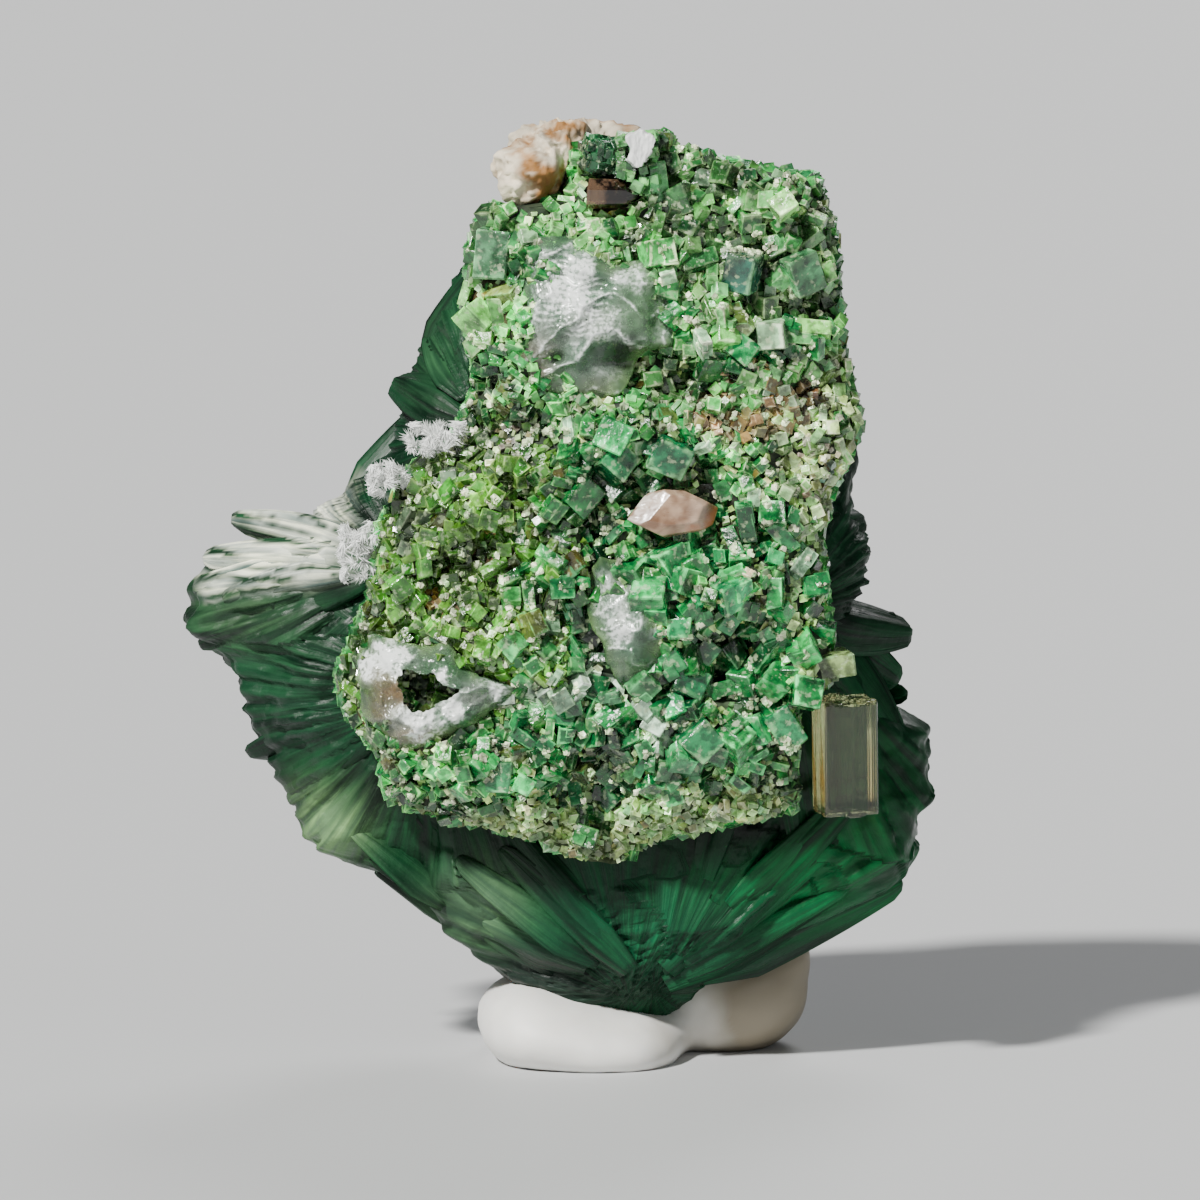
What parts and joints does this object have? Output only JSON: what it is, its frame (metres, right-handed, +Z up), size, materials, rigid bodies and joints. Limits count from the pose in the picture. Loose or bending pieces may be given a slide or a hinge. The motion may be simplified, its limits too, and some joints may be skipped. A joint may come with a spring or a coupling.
{
  "type": "torbernite mineral specimen",
  "caption": "Green torbernite crystals on a slab over dark bladed rock, standing on a white putty foot, as a small display specimen.",
  "frame": {"origin": "point on the flat underside of the putty foot, below the middle of the crystal slab", "axes": "+Z up; -Y out of the crystal slab's face, towards the viewer; +X to the viewer's right"},
  "size_m": [0.0304, 0.0201, 0.0389],
  "materials": {
    "dark_rock": "silky, very dark green blades",
    "green_crystal": "glassy square crystals, paler at their edges",
    "cream_stone": "matt, grainy",
    "smoky_quartz": "clear dark brown",
    "white_flake": "bright white, rough",
    "pink_quartz": "glassy, pinkish, rust stained",
    "clear_yellow": "clear yellow-brown, striated",
    "clear_film": "clear, finely wrinkled, silvery",
    "white_fibre": "white needles",
    "putty": "smooth satin putty"
  },
  "bodies": {
    "root": {"bladed_matrix": "dark_rock", "crystal_crust": "green_crystal", "stone_cap": "cream_stone", "smoky_quartz": "smoky_quartz", "white_flake": "white_flake", "pink_quartz": "pink_quartz", "prism_crystal": "clear_yellow", "upper_film": "clear_film", "middle_film": "clear_film", "lower_film": "clear_film", "upper_tuft": "white_fibre", "middle_tuft": "white_fibre", "lower_tuft": "white_fibre", "putty_foot": "putty"}
  },
  "joints": []
}
